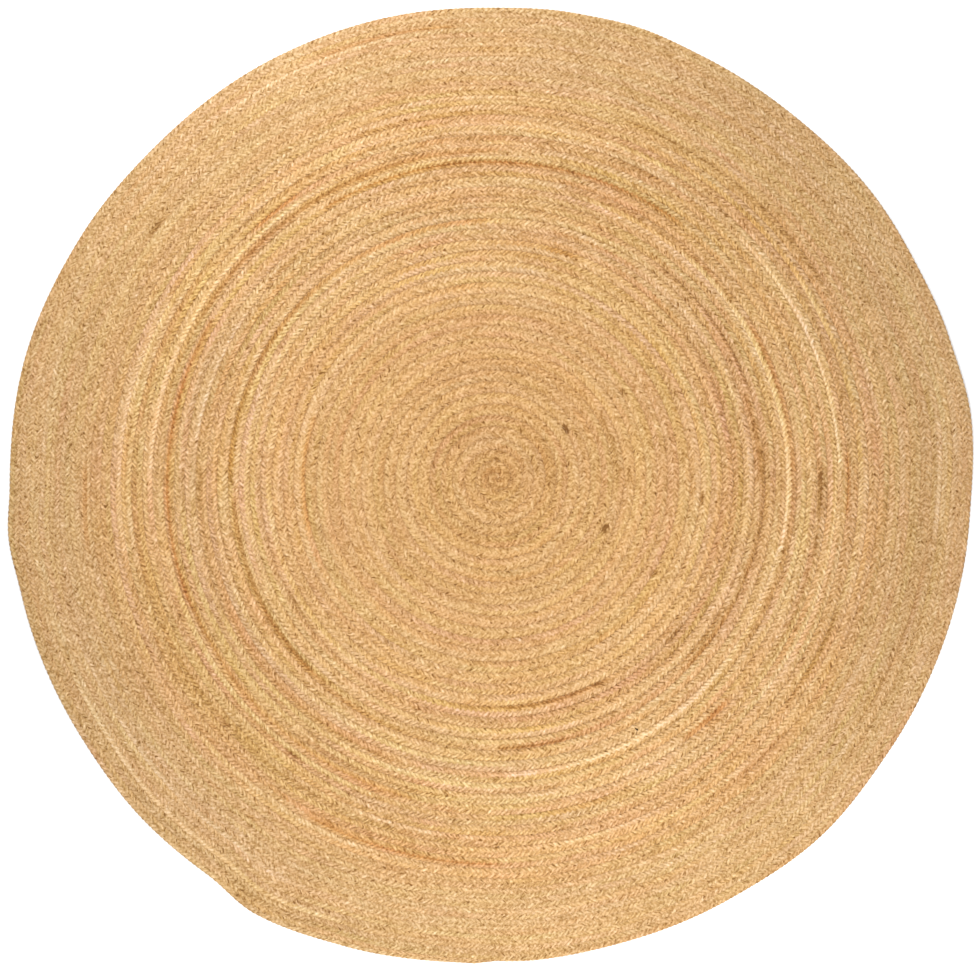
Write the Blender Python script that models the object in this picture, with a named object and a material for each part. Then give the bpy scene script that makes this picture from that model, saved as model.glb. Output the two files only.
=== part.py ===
"""Round braided jute rug, 2.4 m across, lying flat on the floor.

One flat three-strand braid is coiled on edge-to-edge from the middle, turn beside turn, and the
turns are sewn together into a single flat piece. The rug is one closed solid: its top is a spiral
of ribs, one for each turn of the braid, its underside is flat, and its outline is the hand-made
round, with its bulges and flats. The outer end of the braid tapers off against the turn before it.

Metres, +Z up. The origin is under the middle of the rug, on the floor.
"""

import math

import bmesh
import bpy

RUG = "round_jute_rug"
MILLIMETRE = 0.001

# The coil: the braid is looser at the middle than at the rim, so its width falls turn by turn.
TURNS = 45
WIDTH_AT_MIDDLE = 0.0292
WIDTH_AT_RIM = 0.0247
END_ANGLE = math.radians(271.0)

# Heights of the braid's section above the floor.
CREST = 0.010
GROOVE = 0.006
RIM = 0.005
RIM_UNDERCUT = 0.003

# The coil was begun a little to the back right of the finished rug's middle.
START_X = 0.015
START_Y = 0.020
START_FADE = 1.5

# Hand-made unevenness of the outline: at each angle, in degrees anticlockwise from +X, how far in
# millimetres the rim stands outside (+) or inside (-) the even coil. It dies out over
# UNEVEN_DEPTH, in metres, towards the middle.
UNEVEN_DEPTH = 0.30
UNEVEN_RIM = (
    # degrees, millimetres
    (9, 19),
    (18, 10),
    (28, 4),
    (37, 7),
    (52, 0),
    (64, 0),
    (72, 5),
    (80, 1),
    (90, -5),
    (101, -2),
    (116, -4),
    (135, -10),
    (148, -6),
    (164, 0),
    (180, -6),
    (186, 3),
    (193, -6),
    (212, -10),
    (223, -6),
    (234, -9),
    (241, 9),
    (252, -3),
    (266, -6),
    (275, 2),
    (285, -1),
    (300, 3),
    (314, 13),
    (326, 5),
    (342, 5),
    (356, 6),
)

# The sheet that is wound up: its rows run along the braid, a groove and a crest in turn, and its
# columns across it. From each of the FINER_FROM turns on there are twice as many columns, so that
# the wide turns are round too.
ROWS_PER_TURN = 2
ROWS = ROWS_PER_TURN * TURNS
COLUMNS_AT_MIDDLE = 32
FINER_FROM = (14, 40)
COLUMNS_AT_RIM = COLUMNS_AT_MIDDLE * 2 ** len(FINER_FROM)

# The outer end of the braid: along TAPER, a fraction of the last turn, it narrows to END_WIDTH of
# its width, and the last column closes it against the turn before.
TAPER = 0.07
END_WIDTH = 0.4
LIP = 1.0 / COLUMNS_AT_RIM

WELD = 0.00001


def coil_radius(turn):
    """Radius of the coil after so many turns, from the braid's falling width."""
    if turn <= 0.0:
        return 0.0
    narrowing = (WIDTH_AT_MIDDLE - WIDTH_AT_RIM) / (2.0 * TURNS)
    return WIDTH_AT_MIDDLE * turn - narrowing * turn * turn


EVEN_RADIUS = coil_radius(TURNS - 0.5)


def ease(x):
    """Smooth step from 0 to 1."""
    x = min(max(x, 0.0), 1.0)
    return x * x * (3.0 - 2.0 * x)


def rim_offset(angle):
    """Offset of the hand-made outline at an angle, eased from one row of the table to the next."""
    here = math.degrees(angle) % 360.0
    start, low = max((row for row in UNEVEN_RIM if row[0] <= here), default=UNEVEN_RIM[-1])
    end, high = min((row for row in UNEVEN_RIM if row[0] > here), default=UNEVEN_RIM[0])
    share = ((here - start) % 360.0) / ((end - start) % 360.0)
    return MILLIMETRE * (low + (high - low) * ease(share))


def end_width(turned):
    """Width of the last turn, as a share of the whole braid's, at a fraction of the turn."""
    if turned > 1.0 - LIP:
        return END_WIDTH * (1.0 - turned) / LIP
    return 1.0 - (1.0 - END_WIDTH) * ease((turned - 1.0 + TAPER) / (TAPER - LIP))


def section_place(row, turned):
    """Radius and height of a row of the sheet at a fraction of its turn."""
    radius = coil_radius(row / ROWS_PER_TURN - 1.0 + turned)
    height = CREST if row % ROWS_PER_TURN else GROOVE
    if row >= ROWS - ROWS_PER_TURN:
        inner = coil_radius(TURNS - 2.0 + turned)
        radius = inner + (radius - inner) * end_width(turned)
        height = RIM + (height - RIM) * min(1.0, end_width(turned) / END_WIDTH)
    if row == ROWS:
        height = RIM
    return radius, height


def wound_place(row, turned):
    """Point of the rug's top for a row of the sheet at a fraction of its turn."""
    radius, height = section_place(row, turned)
    angle = END_ANGLE + math.tau * turned
    off_centre = 1.0 - min(1.0, radius / EVEN_RADIUS) ** START_FADE
    radius += rim_offset(angle) * ease(1.0 - (EVEN_RADIUS - radius) / UNEVEN_DEPTH)
    x = radius * math.cos(angle) + START_X * off_centre
    y = radius * math.sin(angle) + START_Y * off_centre
    return x, y, height


def flat_sheet(bm):
    """Grid of the unwound top: X is the fraction of a turn, Y the row, finer towards the rim."""
    bmesh.ops.create_grid(bm, x_segments=COLUMNS_AT_MIDDLE, y_segments=ROWS, size=0.5)
    for vert in bm.verts:
        vert.co.x += 0.5
        vert.co.y = (vert.co.y + 0.5) * ROWS
    for turn in FINER_FROM:
        along = []
        for edge in bm.edges:
            row, other_row = (round(vert.co.y) for vert in edge.verts)
            if row == other_row and row >= turn * ROWS_PER_TURN:
                along.append(edge)
        bmesh.ops.subdivide_edges(bm, edges=along, cuts=1)


def wind_up(bm):
    """Winds the sheet round the middle and welds each turn to the one inside it."""
    for vert in bm.verts:
        vert.co = wound_place(round(vert.co.y), vert.co.x)
    bmesh.ops.remove_doubles(bm, verts=bm.verts, dist=WELD)
    bmesh.ops.dissolve_degenerate(bm, edges=bm.edges, dist=WELD)


def rim_and_underside(bm):
    """Folds the edge under to the floor and closes the flat underside."""
    boundary = [edge for edge in bm.edges if edge.is_boundary]
    folded = bmesh.ops.extrude_edge_only(bm, edges=boundary)["geom"]
    foot = [item for item in folded if isinstance(item, bmesh.types.BMVert)]
    for vert in foot:
        shrink = 1.0 - RIM_UNDERCUT / math.hypot(vert.co.x, vert.co.y)
        vert.co.x *= shrink
        vert.co.y *= shrink
        vert.co.z = 0.0
    open_edges = [edge for edge in bm.edges if edge.is_boundary]
    underside = bmesh.ops.holes_fill(bm, edges=open_edges)["faces"]
    bmesh.ops.poke(bm, faces=underside)


def centre_on_floor(bm):
    """Moves the rug so that the middle of its box is over the origin."""
    middle = []
    for axis in (0, 1):
        places = [vert.co[axis] for vert in bm.verts]
        middle.append((min(places) + max(places)) / 2.0)
    bmesh.ops.translate(bm, verts=bm.verts, vec=(-middle[0], -middle[1], 0.0))


def jute():
    """Undyed golden-tan jute, dull and rough."""
    material = bpy.data.materials.new("jute")
    material.use_nodes = True
    shader = material.node_tree.nodes["Principled BSDF"]
    shader.inputs["Base Color"].default_value = (0.62, 0.38, 0.16, 1.0)
    shader.inputs["Roughness"].default_value = 0.9
    shader.inputs["Metallic"].default_value = 0.0
    return material


def braided_coil(collection):
    """The whole rug, one coiled and sewn braid."""
    mesh = bpy.data.meshes.new("braided_coil")
    bm = bmesh.new()
    flat_sheet(bm)
    wind_up(bm)
    rim_and_underside(bm)
    centre_on_floor(bm)
    bmesh.ops.triangulate(bm, faces=bm.faces)
    bmesh.ops.recalc_face_normals(bm, faces=bm.faces)
    bm.to_mesh(mesh)
    bm.free()
    mesh.materials.append(jute())
    rug = bpy.data.objects.new("braided_coil", mesh)
    collection.objects.link(rug)
    return rug


def main():
    for old in list(bpy.data.objects):
        bpy.data.objects.remove(old, do_unlink=True)
    collection = bpy.data.collections.new(RUG)
    bpy.context.scene.collection.children.link(collection)
    braided_coil(collection)


main()
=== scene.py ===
"""Round braided jute rug: the looks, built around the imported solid.

Metres, +Z up, +Y away from the side where the braid ends. The rug lies flat with its middle over
the origin. It is worked from the inside out, as it is made: the braid, wound and lying in its
turns, then the thread that sews each turn to the last, and then the floor, lights and camera.
"""

import math

import bmesh
import bpy
import numpy as np
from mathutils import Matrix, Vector


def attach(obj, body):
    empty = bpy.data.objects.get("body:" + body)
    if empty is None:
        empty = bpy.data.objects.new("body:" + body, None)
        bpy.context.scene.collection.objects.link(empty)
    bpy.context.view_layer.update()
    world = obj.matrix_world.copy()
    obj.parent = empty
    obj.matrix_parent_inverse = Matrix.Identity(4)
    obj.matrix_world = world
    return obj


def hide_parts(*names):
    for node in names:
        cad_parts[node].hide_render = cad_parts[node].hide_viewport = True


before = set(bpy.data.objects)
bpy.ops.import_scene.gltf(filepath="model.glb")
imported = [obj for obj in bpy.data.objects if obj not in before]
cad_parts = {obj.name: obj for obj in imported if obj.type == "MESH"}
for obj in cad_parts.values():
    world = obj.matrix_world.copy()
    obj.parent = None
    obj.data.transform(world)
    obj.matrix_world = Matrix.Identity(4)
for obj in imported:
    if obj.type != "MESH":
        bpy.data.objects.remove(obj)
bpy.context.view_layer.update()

# ---- The braid -------------------------------------------------------------------------------
# One flat three-strand braid of undyed jute, about 172 m long, coiled on edge-to-edge from the
# middle in 45 turns. It is plaited in six lengths, each joined to the last as the jute runs out.
# Every strand crosses over the middle and dives under the next, which leaves two rows of lobes.

MILLIMETRE = 0.001

# The coil, as the solid has it. It was begun a little to the back right of the rug's middle, and
# its turns come to lie round the middle by the rim.
TURNS = 45
WIDTH_AT_MIDDLE = 0.0292
WIDTH_AT_RIM = 0.0247
END_ANGLE = math.radians(271.0)
START_X = 0.015
START_Y = 0.020
START_FADE = 1.5

# The braid's outer end: along TAPER, a fraction of the last turn, it narrows to END_WIDTH of its
# width. Along LIP it narrows on to LIP_WIDTH of that, and sinks to LIP_HEIGHT of its height.
TAPER = 0.07
END_WIDTH = 0.4
LIP = 0.008
LIP_WIDTH = 0.1
LIP_HEIGHT = 0.85

# Hand-made unevenness of the outline, which dies out over UNEVEN_DEPTH, in metres, towards the middle.
UNEVEN_DEPTH = 0.30
UNEVEN_RIM = (
    # degrees anticlockwise from +X, millimetres outside (+) or inside (-) the even coil
    (9, 19),
    (18, 10),
    (28, 4),
    (37, 7),
    (52, 0),
    (64, 0),
    (72, 5),
    (80, 1),
    (90, -5),
    (101, -2),
    (116, -4),
    (135, -10),
    (148, -6),
    (164, 0),
    (180, -6),
    (186, 3),
    (193, -6),
    (212, -10),
    (223, -6),
    (234, -9),
    (241, 9),
    (252, -3),
    (266, -6),
    (275, 2),
    (285, -1),
    (300, 3),
    (314, 13),
    (326, 5),
    (342, 5),
    (356, 6),
)

# The braid's edge wanders a little, turn by turn: waves a turn, and metres.
WANDER = ((3.7, 0.0005), (8.3, 0.0004), (17.9, 0.0002))
WANDER_FROM_TURN = 8.0


def coil_radius(turn):
    """Radius of the even coil after so many turns."""
    wound = np.maximum(turn, 0.0)
    return WIDTH_AT_MIDDLE * wound - (WIDTH_AT_MIDDLE - WIDTH_AT_RIM) / (2.0 * TURNS) * wound**2


def ease(x):
    """Smooth step from 0 to 1."""
    x = np.clip(x, 0.0, 1.0)
    return x * x * (3.0 - 2.0 * x)


def rim_offset(angle):
    """Offset of the hand-made outline at an angle, eased from one row of the table to the next."""
    degrees, offsets = np.array(UNEVEN_RIM, float).T
    degrees = np.concatenate([degrees[-1:] - 360.0, degrees, degrees[:1] + 360.0])
    offsets = np.concatenate([offsets[-1:], offsets, offsets[:1]])
    here = np.degrees(angle) % 360.0
    row = np.searchsorted(degrees, here, side="right") - 1
    share = (here - degrees[row]) / (degrees[row + 1] - degrees[row])
    return MILLIMETRE * (offsets[row] + (offsets[row + 1] - offsets[row]) * ease(share))


def edge_radius(turn):
    """Radius of the line between two turns, which wanders a little."""
    waves = sum(size * np.sin(math.tau * count * turn + count) for count, size in WANDER)
    return coil_radius(turn) + waves * ease(turn / WANDER_FROM_TURN)


def on_the_coil(turn, across):
    """X and Y of the braid after so many turns, from its inner edge, -1, to its outer edge, 1."""
    angle = END_ANGLE + math.tau * turn
    inner = edge_radius(turn - 1.0)
    width = edge_radius(turn) - inner
    width *= 1.0 - (1.0 - END_WIDTH) * ease((turn - TURNS + TAPER) / TAPER)
    width *= np.clip((TURNS - turn) / LIP, LIP_WIDTH, 1.0)
    radius = inner + width * (across + 1.0) / 2.0
    even_radius = coil_radius(TURNS - 0.5)
    off_centre = 1.0 - np.clip(radius / even_radius, 0.0, 1.0) ** START_FADE
    radius = radius + rim_offset(angle) * ease(1.0 - (even_radius - radius) / UNEVEN_DEPTH)
    x = radius * np.cos(angle) + START_X * off_centre
    y = radius * np.sin(angle) + START_Y * off_centre
    return x, y


# Lobes: their pitch along the braid, how far the middle of a lobe lies ahead of its outer end, in
# pitches, and the rows of faces that make one. Towards the braid's two ends, over SLANT_FADE lobes,
# they stop leaning. The braid starts FIRST_TURN of a turn from the coil's middle.
PITCH_AT_MIDDLE = 0.0138
PITCH_AT_RIM = 0.0130
SLANT = 1.0
SLANT_FADE = 3.0
ROWS_PER_LOBE = 4
FIRST_TURN = 0.08
LENGTHS = 6

# The braid's section, from its inner edge over the top to its outer edge and back underneath.
SECTION = (
    # across, height between two lobes, how much higher a lobe's top is, swing across at its top,
    # how much higher or lower all of it lies at the rug's middle, and where the braid is liveliest
    (-1.01, 0.0063, 0.0017, -0.09, -0.0009, -0.0008),
    (-0.80, 0.0069, 0.0024, -0.05, -0.0003, -0.0002),
    (-0.42, 0.0071, 0.0028, 0.00, 0.0000, 0.0000),
    (0.00, 0.0062, 0.0015, 0.20, 0.0011, 0.0000),
    (0.42, 0.0071, 0.0028, 0.00, 0.0000, 0.0000),
    (0.80, 0.0069, 0.0024, 0.05, -0.0003, -0.0002),
    (1.01, 0.0063, 0.0017, 0.09, -0.0009, -0.0008),
    (0.00, 0.0000, 0.0000, 0.00, 0.0000, 0.0000),
)
COLUMNS = len(SECTION)
MIDDLE_COLUMN = 3

# How much of its rise a lobe has on each of its rows, and how unevenly high the lobes are.
LOBE_PROFILE = (0.0, 0.75, 1.0, 0.80)
LOBE_UNEVEN = 0.27
LOBE_LEAST = 0.6
LOBE_MOST = 1.3
SPARE_LOBES = 8

# The pitch wavers by this share of itself, between knots this many metres apart.
PITCH_UNEVEN = 0.14
PITCH_KNOT = 0.05

# The braid grows livelier over LIVELY_IN and calmer again over LIVELY_OUT, in turns. Where it is
# calm, its lobes rise LOBE_CALM as high.
LIVELY_IN = (14.0, 22.0)
LIVELY_OUT = (33.0, 39.0)
LOBE_CALM = 0.56

SEED = 7
chance = np.random.default_rng(SEED)


def livelier(turn, calm):
    """How marked the braid is: 1 between the 22nd and 33rd turn, calm at the middle and the rim."""
    rising = ease((turn - LIVELY_IN[0]) / (LIVELY_IN[1] - LIVELY_IN[0]))
    falling = ease((LIVELY_OUT[1] - turn) / (LIVELY_OUT[1] - LIVELY_OUT[0]))
    return calm + (1.0 - calm) * rising * falling


def along_noise(distance, knot, lane, lanes):
    """Smooth chance values from -1 to 1 along the braid, with a course of its own for each lane."""
    knots = chance.uniform(-1.0, 1.0, (lanes, int(distance.max() / knot) + 2))
    step = distance / knot
    before = np.floor(step).astype(int)
    low = knots[lane, before]
    return low + (knots[lane, before + 1] - low) * ease(step - before)


# How far along the braid, and how many lobes along it, each turn lies. Where its middle line would
# have a smaller radius than LEAST_RADIUS, that is taken instead.
STEPS_PER_TURN = 1000
LEAST_RADIUS = WIDTH_AT_MIDDLE / 4.0
turn_steps = np.linspace(0.0, TURNS, TURNS * STEPS_PER_TURN + 1)
step_radius = coil_radius(turn_steps - 0.5)
step_length = math.tau * np.maximum(step_radius, LEAST_RADIUS) * (turn_steps[1] - turn_steps[0])
along_steps = np.cumsum(step_length)
pitch_steps = PITCH_AT_MIDDLE + (PITCH_AT_RIM - PITCH_AT_MIDDLE) * step_radius / step_radius[-1]
pitch_steps *= 1.0 + PITCH_UNEVEN * along_noise(along_steps, PITCH_KNOT, 0, 1)
lobe_steps = np.cumsum(step_length / pitch_steps)
first_lobe = np.interp(FIRST_TURN, turn_steps, lobe_steps)
ROWS = int((lobe_steps[-1] - first_lobe) * ROWS_PER_LOBE) // LENGTHS * LENGTHS

lobe_height = chance.normal(1.0, LOBE_UNEVEN, (2, ROWS // ROWS_PER_LOBE + SPARE_LOBES))
lobe_height = lobe_height.clip(LOBE_LEAST, LOBE_MOST)


def braid_points(row, column):
    """Places of points of the braid's surface, their turn and how far across they lie, by grid place."""
    column = column % COLUMNS
    across, low, rise, swing, at_middle, at_lively = np.moveaxis(np.array(SECTION)[column], -1, 0)
    fade = np.clip(np.minimum(row, ROWS - row) / (SLANT_FADE * ROWS_PER_LOBE), 0.0, 1.0)
    lobe = first_lobe + row / ROWS_PER_LOBE + SLANT * fade * (1.0 - np.abs(across))
    turn = np.interp(lobe, lobe_steps, turn_steps)
    outer_side = (column > MIDDLE_COLUMN).astype(int)
    phase = row + outer_side * ROWS_PER_LOBE // 2
    profile = np.array(LOBE_PROFILE)
    top = profile[phase % ROWS_PER_LOBE]
    other_top = profile[(phase + ROWS_PER_LOBE // 2) % ROWS_PER_LOBE]
    middle = column == MIDDLE_COLUMN
    size = lobe_height[outer_side, phase // ROWS_PER_LOBE]
    lean = np.where(middle, top - other_top, top)
    height = rise * np.where(middle, np.maximum(top, other_top), top * size) * livelier(turn, LOBE_CALM)
    height = height + low + at_middle * (1.0 - turn / TURNS) + at_lively * livelier(turn, 0.0)
    height *= LIP_HEIGHT + (1.0 - LIP_HEIGHT) * np.clip((TURNS - turn) / LIP, 0.0, 1.0)
    x, y = on_the_coil(turn, across + swing * lean)
    return np.stack([x, y, height], axis=-1), turn, across


def unwound_grid(name, rows, columns):
    """Flat grid, with the column round the braid as X and the row along it as Y."""
    bm = bmesh.new()
    bmesh.ops.create_grid(bm, x_segments=columns, y_segments=rows, size=0.5)
    bmesh.ops.translate(bm, verts=bm.verts, vec=(0.5, 0.5, 0.0))
    bmesh.ops.scale(bm, verts=bm.verts, vec=(columns, rows, 1.0))
    mesh = bpy.data.meshes.new(name)
    bm.to_mesh(mesh)
    bm.free()
    return mesh


def grid_places(mesh):
    """Column and row of every point of a grid, and of every corner of its faces."""
    places = np.empty(len(mesh.vertices) * 3, np.float32)
    mesh.vertices.foreach_get("co", places)
    column, row, _ = np.rint(places.reshape(-1, 3)).astype(int).T
    corners = np.empty(len(mesh.loops), np.int32)
    mesh.loops.foreach_get("vertex_index", corners)
    return column, row, column[corners], row[corners]


# The bake's own map is cut into STRIPS, with a margin along each side that is this share of a strip.
STRIPS = 22
STRIP_MARGIN = 0.04


def strip_map(mesh, corner_column, corner_row, rows, columns, strips):
    """Lays the tube out for the bake: unrolled, and cut into strips that lie one above the other."""
    per_strip = math.ceil(rows / strips)
    face_row = corner_row.reshape(-1, 4).min(axis=1)
    strip = np.repeat(face_row // per_strip, 4)
    u = (corner_row - strip * per_strip) / per_strip
    v = STRIP_MARGIN + corner_column / columns * (1.0 - 2.0 * STRIP_MARGIN)
    layer = mesh.uv_layers.new(name="OFBake")
    layer.data.foreach_set("uv", np.stack([u, (strip + v) / strips], axis=-1).ravel())


WELD = 1e-7
SHARP_FROM = math.radians(100.0)


def close_tube(mesh):
    """Welds the grid's two long edges to a tube, closes its ends and points its faces outwards."""
    bm = bmesh.new()
    bm.from_mesh(mesh)
    open_points = [vert for vert in bm.verts if vert.is_boundary]
    bmesh.ops.remove_doubles(bm, verts=open_points, dist=WELD)
    open_edges = [edge for edge in bm.edges if edge.is_boundary]
    bmesh.ops.holes_fill(bm, edges=open_edges)
    bmesh.ops.recalc_face_normals(bm, faces=bm.faces)
    for face in bm.faces:
        face.smooth = True
    bm.to_mesh(mesh)
    bm.free()
    mesh.set_sharp_from_angle(angle=SHARP_FROM)


# Colour of the jute, lobe by lobe. The tone is 0 on plain golden jute, up to 1.5 on the palest
# fibre and down to -1.5 on the darkest. Each streak is a run of odd fibre along one row of lobes.
STREAKS = (
    # turn, degrees anticlockwise from the braid's end where it begins and ends, tone, orange
    (8.1, 121, 126, -5.0, 0.0),
    (11.3, 62, 66, -3.0, 0.1),
    (11.4, 86, 121, -0.5, 0.0),
    (11.5, 301, 319, -0.7, 0.0),
    (12.4, 86, 94, -0.7, 0.0),
    (14.3, 121, 124, -1.3, 0.0),
    (17.1, 57, 60, -1.3, 0.1),
    (17.1, 249, 284, -0.1, 0.6),
    (19.2, 82, 85, -1.4, 0.3),
    (20.1, 347, 359, -0.5, 0.2),
    (20.8, 297, 309, -0.6, 0.1),
    (21.1, 0, 28, -0.7, 0.3),
    (21.7, 159, 166, -0.6, 0.5),
    (21.9, 46, 51, -0.9, 0.3),
    (23.4, 145, 165, -0.3, 0.4),
    (23.5, 272, 319, -0.6, 0.4),
    (23.5, 298, 315, -0.4, 0.2),
    (23.8, 180, 224, -0.3, 0.3),
    (23.8, 224, 269, -0.6, 0.4),
    (23.8, 319, 345, -0.3, 0.2),
    (24.2, 45, 61, -0.5, 0.4),
    (24.5, 90, 108, -0.7, 0.3),
    (24.8, 0, 15, -0.7, 0.4),
    (24.8, 45, 71, -0.7, 0.3),
    (24.9, 71, 97, -0.9, 0.1),
    (24.9, 109, 141, -0.8, 0.0),
    (26.6, 266, 294, -0.4, 0.2),
    (26.6, 294, 340, -0.5, 0.3),
    (27.0, 51, 76, 1.0, 0.0),
    (27.0, 101, 131, 1.2, 0.0),
    (27.0, 131, 160, 1.0, 0.0),
    (27.0, 180, 210, 0.7, 0.0),
    (27.2, 42, 51, 0.5, 0.0),
    (27.2, 76, 101, 1.0, 0.0),
    (27.2, 229, 261, 0.5, 0.0),
    (27.2, 328, 360, 0.4, 0.0),
    (27.4, 0, 42, 0.7, 0.0),
    (27.7, 45, 91, -0.4, 0.2),
    (27.7, 91, 121, -0.2, 0.6),
    (27.7, 126, 165, -0.3, 0.4),
    (28.6, 324, 350, -0.3, 0.2),
    (29.4, 143, 210, -0.4, 0.7),
    (29.4, 184, 191, -0.5, 0.1),
    (29.4, 291, 345, -0.3, 0.5),
    (29.5, 285, 296, -0.4, 0.2),
    (29.6, 239, 291, -0.3, 0.8),
    (29.6, 251, 261, -0.2, 0.2),
    (29.7, 36, 46, -0.5, 0.9),
    (30.0, 168, 215, 0.6, 0.0),
    (30.3, 84, 92, -0.9, 0.0),
    (30.4, 56, 91, -0.6, 0.1),
    (30.5, 35, 56, -0.4, 0.0),
    (30.5, 178, 239, -0.1, 0.5),
    (30.5, 307, 345, -0.3, 0.1),
    (30.6, 322, 324, -1.1, 0.2),
    (31.0, 172, 190, 0.6, 0.0),
    (31.0, 269, 289, 0.4, 0.0),
    (31.1, 198, 233, 0.7, 0.0),
    (31.2, 233, 269, 0.9, 0.0),
    (31.8, 150, 158, -0.6, 0.1),
    (31.9, 213, 222, -0.1, 1.0),
    (32.0, 50, 92, 0.8, 0.0),
    (32.1, 325, 360, 0.4, 0.0),
    (32.2, 92, 133, 1.0, 0.0),
    (32.6, 299, 352, -0.3, 0.1),
    (33.0, 84, 94, -0.3, 0.9),
    (33.0, 150, 205, 0.7, 0.0),
    (33.8, 293, 302, -0.4, 0.2),
    (34.0, 239, 255, 0.8, 0.0),
    (34.1, 113, 124, 0.9, 0.0),
    (34.1, 255, 281, 0.8, 0.0),
    (34.3, 5, 25, 0.5, 0.0),
    (34.3, 52, 69, -0.6, 0.2),
    (34.6, 330, 360, -0.2, 0.7),
    (35.8, 34, 48, -0.4, 0.0),
    (35.8, 121, 160, -0.6, 0.1),
    (36.8, 67, 93, -0.3, 0.0),
    (37.5, 266, 278, -0.1, 0.5),
    (38.4, 35, 41, -0.7, 0.0),
    (39.3, 230, 232, -2.0, 0.1),
    (40.9, 289, 335, 0.5, 0.0),
    (41.1, 56, 79, -0.4, 0.2),
    (41.2, 79, 101, -0.4, 0.1),
    (41.7, 83, 97, 0.7, 0.0),
    (42.1, 53, 80, -0.4, 0.1),
    (42.3, 80, 83, -0.7, 0.0),
    (42.7, 295, 340, 0.7, 0.0),
    (42.8, 190, 215, 0.6, 0.0),
    (43.2, 183, 200, -0.1, 0.5),
)
# How the jute changes from the rug's middle to its rim: golden first, then paler and cooler.
BY_TURN = (
    # turn, tone, how golden
    (0, -0.12, 1.5),
    (4, 0.00, 1.1),
    (10, 0.08, 1.0),
    (14, 0.17, 1.0),
    (18, 0.10, 0.7),
    (22, 0.04, 0.4),
    (26, 0.00, -0.2),
    (30, 0.00, 0.0),
    (35, -0.03, 0.3),
    (39, 0.00, -1.1),
    (45, 0.02, -1.5),
)
# A streak's half width in turns, how many degrees it fades in and out over, and the tint of orange.
STREAK_WIDTH = 0.21
STREAK_FADE = 3.0
ORANGE = (0.90, 0.66, 0.36)

# Chance tones, and how many metres lie between their knots: of each of the three strands, of each
# column of faces and of each row of lobes. The last one is of each lobe, with no knots.
STRAND_TONE = 0.24
STRAND_KNOT = 1.2
LANE_TONE = 0.24
LANE_KNOT = 0.35
ROW_TONE = 0.13
ROW_KNOT = 1.1
LOBE_TONE = 0.05

# Chance tints, at three distances between knots. GOLDEN is what fully golden jute loses of red,
# green and blue. How golden it is wavers by GOLDEN_UNEVEN, and by GOLDEN_LOBE from lobe to lobe.
TINT_KNOTS = (0.08, 0.3, 1.2)
GREEN = 1
BLUE = 2
GREEN_TINT = 0.036
BLUE_TINT = 0.062
GOLDEN = (0.0, 0.038, 0.100)
GOLDEN_UNEVEN = 0.66
GOLDEN_LOBE = 0.25

# Where the braid is calm, the tones by column and by row, and the tints, waver this much as strongly.
TONE_CALM = 0.55
TINT_CALM = 0.65

# Every face's place on the braid. The two rows of lobes take turns, so lobes are counted through
# both, and every third lobe is the same strand.

row, column = np.meshgrid(np.arange(ROWS), np.arange(COLUMNS), indexing="ij")
places, face_turn, _ = braid_points(row, column)
face_side = (column >= MIDDLE_COLUMN).astype(int)
face_phase = row + face_side * ROWS_PER_LOBE // 2
face_lobe = 2 * (face_phase // ROWS_PER_LOBE) + 1 - face_side
face_along = np.interp(face_turn, turn_steps, along_steps)
face_across = (np.array(SECTION)[column, 0] + np.array(SECTION)[(column + 1) % COLUMNS, 0]) / 2.0
face_degrees = (face_turn % 1.0) * 360.0
face_course = np.floor(face_turn) + (face_across + 1.0) / 2.0
tone = STRAND_TONE * along_noise(face_along, STRAND_KNOT, face_lobe % 3, 3)
lanes = LANE_TONE * along_noise(face_along, LANE_KNOT, column, COLUMNS)
lanes = lanes + ROW_TONE * along_noise(face_along, ROW_KNOT, face_side, 2)
tone = tone + lanes * livelier(face_turn, TONE_CALM)
lobe_tone = chance.normal(0.0, LOBE_TONE, face_lobe.max() + 1)
tone = tone + lobe_tone[face_lobe]
turn_listed, tone_there, golden_there = np.array(BY_TURN).T
tone = tone + np.interp(face_turn, turn_listed, tone_there)
golden = np.interp(face_turn, turn_listed, golden_there)
golden = golden + chance.normal(0.0, GOLDEN_LOBE, face_lobe.max() + 1)[face_lobe]
tint = np.ones((*tone.shape, 4))
uneven = livelier(face_turn, TINT_CALM)
for knot in TINT_KNOTS:
    golden = golden + uneven * GOLDEN_UNEVEN * along_noise(face_along, knot, face_side, 2)
    tint[..., GREEN] += uneven * GREEN_TINT * along_noise(face_along, knot, face_side, 2)
    tint[..., BLUE] += uneven * BLUE_TINT * along_noise(face_along, knot, face_side, 2)
tint[..., :3] -= golden[..., None] * np.array(GOLDEN)
for course, begins, ends, strength, orange in STREAKS:
    nearness = np.exp(-(((face_course - course) / STREAK_WIDTH) ** 2))
    begun = ease((face_degrees - begins) / STREAK_FADE + 0.5)
    not_over = ease((ends - face_degrees) / STREAK_FADE + 0.5)
    inside = begun * not_over
    tone = tone + strength * nearness * inside
    tint[..., :3] *= 1.0 - orange * (nearness * inside)[..., None] * (1.0 - np.array(ORANGE))

# The middle of the rug's own box comes over the origin, as in the solid.
rug_middle = (places.reshape(-1, 3).min(axis=0) + places.reshape(-1, 3).max(axis=0)) / 2.0
rug_middle[2] = 0.0

# The jute's noises: features a metre, along and across the fibres or the same in all directions,
# and the tone each one spans. The flecks are darker bark, and show only where their noise is high.
YARNS = (85.0, 240.0)
YARN_TONE = 2.6
FIBRES = (90.0, 1100.0)
FIBRE_TONE = 1.0
FLECKS = (62.0, 190.0)
FLECKS_FROM = 0.705
FLECKS_FULL = 0.785
FLECK_TONE = -1.6
SPECKS = 172.0
SPECK_TONE = 3.1

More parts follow.
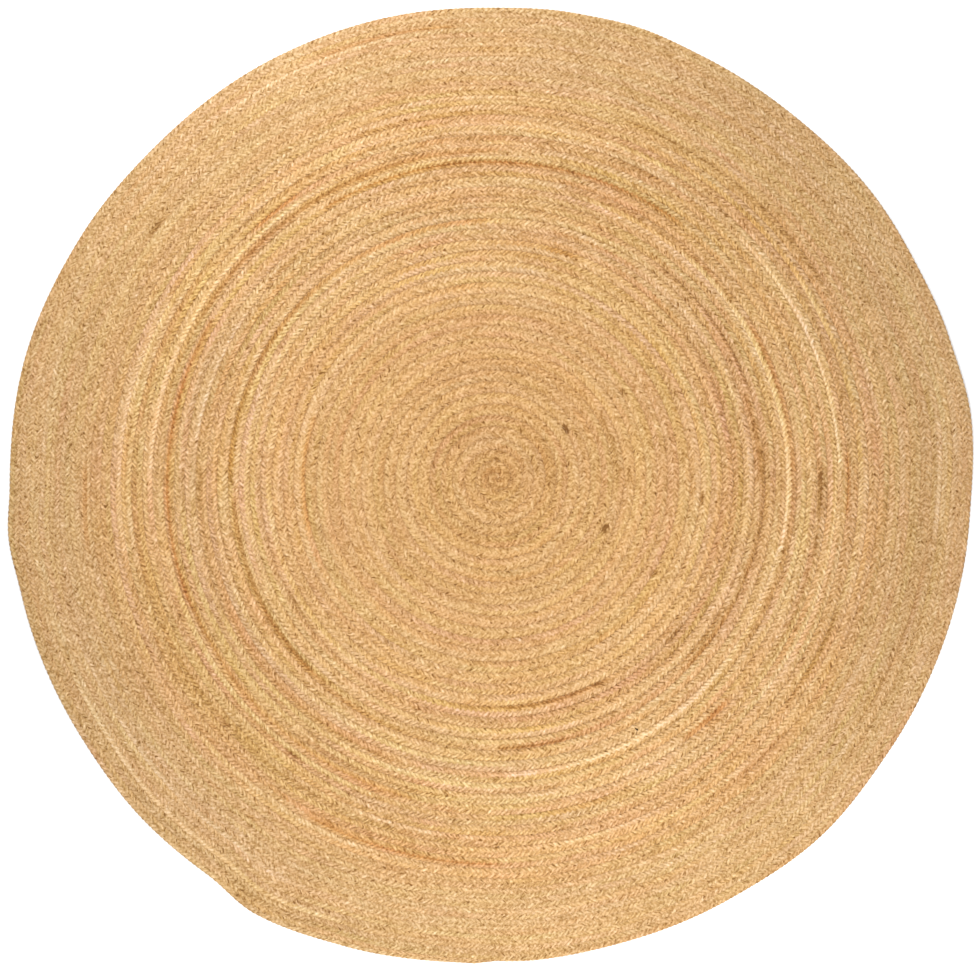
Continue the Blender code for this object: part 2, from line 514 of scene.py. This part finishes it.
# The whole rug is a little darker and lighter by zones: the least brightness, and the range above it.
ZONES = 3.5
ZONE_LEAST = (0.92, 0.91, 0.90)
ZONE_RANGE = (0.16, 0.18, 0.20)

# The ramp's colours, from the darkest tone to the palest, and the painted shade: the colour that
# multiplies the jute where it lies deepest.
TONE_REACH = 1.5
JUTE_COLOURS = (
    # place on the ramp, linear red, green and blue
    (0.00, (0.235, 0.104, 0.022)),
    (0.17, (0.366, 0.192, 0.054)),
    (0.33, (0.478, 0.272, 0.097)),
    (0.50, (0.604, 0.368, 0.160)),
    (0.67, (0.700, 0.449, 0.218)),
    (0.83, (0.788, 0.537, 0.294)),
    (1.00, (0.858, 0.620, 0.384)),
)
PAINTED_HOLLOW_SHADE = (0.67, 0.60, 0.51)


def jute_material():
    """Undyed golden jute: tone by lobe, yarns and fibres along each lobe, and painted shade darkening it
    where it lies low.
    """
    material = bpy.data.materials.new("jute")
    material.use_nodes = True
    nodes = material.node_tree.nodes
    link = material.node_tree.links.new
    shader = nodes["Principled BSDF"]
    shader.inputs["Roughness"].default_value = 0.8
    shader.inputs["Specular IOR Level"].default_value = 0.25
    shader.inputs["Sheen Weight"].default_value = 0.15
    shader.inputs["Sheen Roughness"].default_value = 0.5

    tones = nodes.new("ShaderNodeAttribute")
    tones.attribute_name = "tone"

    fibre_places = nodes.new("ShaderNodeUVMap")
    fibre_places.uv_map = "fibres"

    def fibre_noise(along, across, detail):
        """Noise stretched along the fibres: features a metre, along and across them."""
        scale = nodes.new("ShaderNodeMapping")
        scale.inputs["Scale"].default_value = (along, across, 1.0)
        link(fibre_places.outputs["UV"], scale.inputs["Vector"])
        noise = nodes.new("ShaderNodeTexNoise")
        noise.inputs["Scale"].default_value = 1.0
        noise.inputs["Detail"].default_value = detail
        noise.inputs["Roughness"].default_value = 0.6
        link(scale.outputs["Vector"], noise.inputs["Vector"])
        return noise.outputs["Fac"]

    def around_zero(value, strength):
        """A noise from 0 to 1 made to run from minus half its strength to plus half."""
        step = nodes.new("ShaderNodeMath")
        step.operation = "MULTIPLY_ADD"
        link(value, step.inputs[0])
        step.inputs[1].default_value = strength
        step.inputs[2].default_value = -strength / 2.0
        return step.outputs["Value"]

    def added(value, other):
        """The sum of two values."""
        step = nodes.new("ShaderNodeMath")
        step.operation = "ADD"
        link(value, step.inputs[0])
        link(other, step.inputs[1])
        return step.outputs["Value"]

    yarns = fibre_noise(*YARNS, detail=1.0)
    fibres = fibre_noise(*FIBRES, detail=2.0)

    place = nodes.new("ShaderNodeTexCoord")

    def even_noise(scale, detail, roughness):
        """Noise that is the same in every direction: features a metre."""
        noise = nodes.new("ShaderNodeTexNoise")
        noise.inputs["Scale"].default_value = scale
        noise.inputs["Detail"].default_value = detail
        noise.inputs["Roughness"].default_value = roughness
        link(place.outputs["Object"], noise.inputs["Vector"])
        return noise.outputs["Fac"]

    specks = even_noise(SPECKS, detail=1.0, roughness=0.5)
    flecks = nodes.new("ShaderNodeMapRange")
    flecks.inputs["From Min"].default_value = FLECKS_FROM
    flecks.inputs["From Max"].default_value = FLECKS_FULL
    flecks.inputs["To Max"].default_value = FLECK_TONE
    link(fibre_noise(*FLECKS, detail=0.0), flecks.inputs["Value"])

    whole_tone = added(tones.outputs["Fac"], around_zero(yarns, YARN_TONE))
    whole_tone = added(whole_tone, around_zero(fibres, FIBRE_TONE))
    whole_tone = added(whole_tone, around_zero(specks, SPECK_TONE))
    whole_tone = added(whole_tone, flecks.outputs["Result"])
    on_ramp = nodes.new("ShaderNodeMapRange")
    on_ramp.inputs["From Min"].default_value = -TONE_REACH
    on_ramp.inputs["From Max"].default_value = TONE_REACH
    link(whole_tone, on_ramp.inputs["Value"])
    ramp = nodes.new("ShaderNodeValToRGB")
    while len(ramp.color_ramp.elements) < len(JUTE_COLOURS):
        ramp.color_ramp.elements.new(0.5)
    for element, (place_on_ramp, colour) in zip(ramp.color_ramp.elements, JUTE_COLOURS):
        element.position = place_on_ramp
        element.color = (*colour, 1.0)
    link(on_ramp.outputs["Result"], ramp.inputs["Fac"])

    def multiplied(colour, other, attribute):
        """The colour times another: an attribute gives the other colour, or how much it counts."""
        given = nodes.new("ShaderNodeAttribute")
        given.attribute_name = attribute
        mix = nodes.new("ShaderNodeMix")
        mix.data_type = "RGBA"
        mix.blend_type = "MULTIPLY"
        mix.inputs["Factor"].default_value = 1.0
        link(colour, mix.inputs["A"])
        if other is None:
            link(given.outputs["Color"], mix.inputs["B"])
        else:
            mix.inputs["B"].default_value = (*other, 1.0)
            link(given.outputs["Fac"], mix.inputs["Factor"])
        return mix.outputs["Result"]

    tinted = multiplied(ramp.outputs["Color"], None, "tint")
    # painted shade: the colour is darkened where the braid lies low, between lobes and between turns
    with_painted_shade = multiplied(tinted, PAINTED_HOLLOW_SHADE, "painted_shade")
    zones = nodes.new("ShaderNodeVectorMath")
    zones.operation = "MULTIPLY_ADD"
    zones.inputs[1].default_value = ZONE_RANGE
    zones.inputs[2].default_value = ZONE_LEAST
    link(even_noise(ZONES, detail=3.0, roughness=0.8), zones.inputs[0])
    zoned = nodes.new("ShaderNodeMix")
    zoned.data_type = "RGBA"
    zoned.blend_type = "MULTIPLY"
    zoned.inputs["Factor"].default_value = 1.0
    link(with_painted_shade, zoned.inputs["A"])
    link(zones.outputs["Vector"], zoned.inputs["B"])
    link(zoned.outputs["Result"], shader.inputs["Base Color"])

    bump = nodes.new("ShaderNodeBump")
    bump.inputs["Strength"].default_value = 0.6
    bump.inputs["Distance"].default_value = 0.0006
    link(added(fibres, yarns), bump.inputs["Height"])
    link(bump.outputs["Normal"], shader.inputs["Normal"])
    return material


jute = jute_material()

# Painted shade: below CREST the jute's colour is darkened, fully so at the depth given after it.
CREST = 0.0100
PAINTED_SHADE_DEPTH = 0.0042

# The fibres lie at this angle to the braid. Each lobe's stretch of the map is moved aside by
# LOBE_APART metres more than the last one's, within APART_WITHIN. The map starts anew at MAP_REACH.
FIBRE_ANGLE = math.radians(39.0)
LOBE_APART = 0.37
APART_WITHIN = 5.0
MAP_REACH = 20.0


def fibre_map(mesh, corner_column, corner_row, face_row, face_column):
    """Map whose first axis runs along the fibres of each lobe, in metres, with each lobe apart."""
    _, turn, across = braid_points(corner_row, corner_column)
    along = np.interp(turn, turn_steps, along_steps)
    half_width = WIDTH_AT_MIDDLE / 2.0
    sideways = -np.abs(across) * half_width
    lobe = np.repeat(face_lobe[face_row, face_column], 4)
    apart = lobe * LOBE_APART % APART_WITHIN
    first = along * math.cos(FIBRE_ANGLE) + sideways * math.sin(FIBRE_ANGLE)
    second = sideways * math.cos(FIBRE_ANGLE) - along * math.sin(FIBRE_ANGLE)
    layer = mesh.uv_layers.new(name="fibres")
    places_on_map = np.stack([first % MAP_REACH, second % MAP_REACH + apart], axis=-1)
    layer.data.foreach_set("uv", places_on_map.ravel())


rows_each = ROWS // LENGTHS
for number in range(LENGTHS):
    name = f"braid_length_{number + 1}"
    start = number * rows_each
    mesh = unwound_grid(name, rows_each, COLUMNS)
    point_column, point_row, corner_column, corner_row = grid_places(mesh)
    face_column = corner_column.reshape(-1, 4).min(axis=1)
    face_row = corner_row.reshape(-1, 4).min(axis=1)
    strip_map(mesh, corner_column, corner_row, rows_each, COLUMNS, STRIPS)
    fibre_map(mesh, corner_column, corner_row + start, face_row + start, face_column)
    tones = mesh.attributes.new("tone", "FLOAT", "FACE")
    tones.data.foreach_set("value", tone[face_row + start, face_column].astype(np.float32))
    tints = mesh.attributes.new("tint", "FLOAT_COLOR", "FACE")
    tints.data.foreach_set("color", tint[face_row + start, face_column].astype(np.float32).ravel())
    points, _, _ = braid_points(point_row + start, point_column)
    # painted shade: how far each point lies below the crest, which darkens its colour
    painted_shade = ease((CREST - points[:, 2]) / PAINTED_SHADE_DEPTH)
    painted_shade_layer = mesh.attributes.new("painted_shade", "FLOAT", "POINT")
    painted_shade_layer.data.foreach_set("value", painted_shade.astype(np.float32))
    mesh.vertices.foreach_set("co", (points - rug_middle).astype(np.float32).ravel())
    close_tube(mesh)
    mesh.materials.append(jute)
    braid = bpy.data.objects.new(name, mesh)
    bpy.context.scene.collection.objects.link(braid)
    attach(braid, "root")
    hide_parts("braided_coil")
    lobes_here = first_lobe + np.array([start, start + rows_each]) / ROWS_PER_LOBE
    begins, ends = np.interp(lobes_here, lobe_steps, along_steps)

# ---- The sewing thread -----------------------------------------------------------------------
# One twisted jute thread, a little over a millimetre thick, laced in a zigzag across the groove
# between each turn of the braid and the next. It goes in as the braid is coiled.

THREAD_RADIUS = 0.0006
THREAD_SIDES = 3
SEWN_FROM_TURN = 1.0
SEWN_TO_TURN = TURNS - 1.006

# Each stitch crosses the groove in two rows, and the next one comes back: SWAYS says how far aside
# each row lies. The thread is low on the two shoulders and high over the middle of the groove.
STITCH = 0.014
STITCH_REACH = 0.0026
SWAYS = (1.0, 0.0, -1.0, 0.0)
STITCH_LOW = 0.0064
STITCH_HIGH = 0.0082

groove_steps = np.cumsum(math.tau * edge_radius(turn_steps) * (turn_steps[1] - turn_steps[0]))
sewn_from, sewn_to = np.interp((SEWN_FROM_TURN, SEWN_TO_TURN), turn_steps, groove_steps)
THREAD_ROWS = int((sewn_to - sewn_from) / STITCH * 2.0)


def thread_points(row, side):
    """Places of the points of the thread: from one shoulder of the groove over to the other."""
    turn = np.interp(sewn_from + row * STITCH / 2.0, groove_steps, turn_steps)
    half_width = (coil_radius(turn) - coil_radius(turn - 1.0)) / 2.0
    round_it = math.tau * (side % THREAD_SIDES) / THREAD_SIDES
    sway = STITCH_REACH * np.array(SWAYS)[row % len(SWAYS)] + THREAD_RADIUS * np.cos(round_it)
    height = np.array((STITCH_LOW, STITCH_HIGH))[row % 2] + THREAD_RADIUS * np.sin(round_it)
    x, y = on_the_coil(turn, 1.0 + sway / half_width)
    return np.stack([x, y, height], axis=-1)


def thread_material():
    """Twisted jute thread, a shade browner than the braid, mottled along its length."""
    material = bpy.data.materials.new("jute_thread")
    material.use_nodes = True
    nodes = material.node_tree.nodes
    link = material.node_tree.links.new
    shader = nodes["Principled BSDF"]
    shader.inputs["Roughness"].default_value = 0.75
    place = nodes.new("ShaderNodeTexCoord")
    mottle = nodes.new("ShaderNodeTexNoise")
    mottle.inputs["Scale"].default_value = 260.0
    mottle.inputs["Detail"].default_value = 2.0
    link(place.outputs["Object"], mottle.inputs["Vector"])
    ramp = nodes.new("ShaderNodeValToRGB")
    ramp.color_ramp.elements[0].position = 0.3
    ramp.color_ramp.elements[0].color = (0.36, 0.19, 0.070, 1.0)
    ramp.color_ramp.elements[1].position = 0.7
    ramp.color_ramp.elements[1].color = (0.70, 0.44, 0.20, 1.0)
    link(mottle.outputs["Fac"], ramp.inputs["Fac"])
    link(ramp.outputs["Color"], shader.inputs["Base Color"])
    bump = nodes.new("ShaderNodeBump")
    bump.inputs["Strength"].default_value = 0.5
    bump.inputs["Distance"].default_value = 0.0003
    link(mottle.outputs["Fac"], bump.inputs["Height"])
    link(bump.outputs["Normal"], shader.inputs["Normal"])
    return material


thread_mesh = unwound_grid("sewing_thread", THREAD_ROWS, THREAD_SIDES)
point_side, point_row, corner_side, corner_row = grid_places(thread_mesh)
strip_map(thread_mesh, corner_side, corner_row, THREAD_ROWS, THREAD_SIDES, STRIPS)
points = thread_points(point_row, point_side) - rug_middle
thread_mesh.vertices.foreach_set("co", points.astype(np.float32).ravel())
close_tube(thread_mesh)
thread_mesh.materials.append(thread_material())
thread = bpy.data.objects.new("sewing_thread", thread_mesh)
bpy.context.scene.collection.objects.link(thread)
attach(thread, "root")
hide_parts("braided_coil")

# ---- The floor, the lights and the camera -----------------------------------------------------
# A plain white floor, soft even light from above and from behind and in front, and a camera that
# looks straight down on the rug from a little under six metres.

FLOOR_HALF = 20.0
FLOOR_WHITE = (0.95, 0.95, 0.95)
SKY_STRENGTH = 0.19


def plain_material(name, colour, roughness):
    """A plain matt finish."""
    material = bpy.data.materials.new(name)
    material.use_nodes = True
    shader = material.node_tree.nodes["Principled BSDF"]
    shader.inputs["Base Color"].default_value = (*colour, 1.0)
    shader.inputs["Roughness"].default_value = roughness
    return material


floor_mesh = bpy.data.meshes.new("floor")
bm = bmesh.new()
bmesh.ops.create_grid(bm, x_segments=1, y_segments=1, size=FLOOR_HALF)
bm.to_mesh(floor_mesh)
bm.free()
floor_mesh.materials.append(plain_material("floor_white", FLOOR_WHITE, 0.9))
floor = bpy.data.objects.new("floor", floor_mesh)
bpy.context.scene.collection.objects.link(floor)

world = bpy.data.worlds.new("studio")
world.use_nodes = True
world.node_tree.nodes["Background"].inputs["Color"].default_value = (1.0, 1.0, 1.0, 1.0)
world.node_tree.nodes["Background"].inputs["Strength"].default_value = SKY_STRENGTH
bpy.context.scene.world = world

# The lights are aimed at the rug's middle.
AIM = (0.0, 0.0, 0.0)


def soft_light(name, place, width, height, power):
    """A rectangular soft light that faces the rug's middle."""
    light = bpy.data.lights.new(name, "AREA")
    light.shape = "RECTANGLE"
    light.size = width
    light.size_y = height
    light.energy = power
    lamp = bpy.data.objects.new(name, light)
    lamp.location = place
    direction = Vector(AIM) - Vector(place)
    lamp.rotation_euler = direction.to_track_quat("-Z", "Y").to_euler()
    bpy.context.scene.collection.objects.link(lamp)


LIGHTS = (
    # name, place, width, height, watts
    ("overhead", (0.0, 0.0, 6.6), 4.0, 4.0, 333.0),
    ("back_side", (-0.95, 2.65, 1.50), 1.5, 1.0, 66.0),
    ("front_side", (0.55, -2.75, 1.50), 1.5, 1.0, 66.0),
)
for name, place, width, height, power in LIGHTS:
    soft_light(name, place, width, height, power)

# The camera sees VIEW_WIDTH metres of the floor, as the photo does.
VIEW_WIDTH = 2.448
LENS = 85.0
SENSOR = 36.0
CAMERA_X = -0.00375
camera_data = bpy.data.cameras.new("camera")
camera_data.lens = LENS
camera_data.sensor_width = SENSOR
camera = bpy.data.objects.new("camera", camera_data)
camera.location = (CAMERA_X, 0.0, VIEW_WIDTH * LENS / SENSOR)
bpy.context.scene.collection.objects.link(camera)
bpy.context.scene.camera = camera

bpy.context.scene.view_settings.view_transform = "Standard"
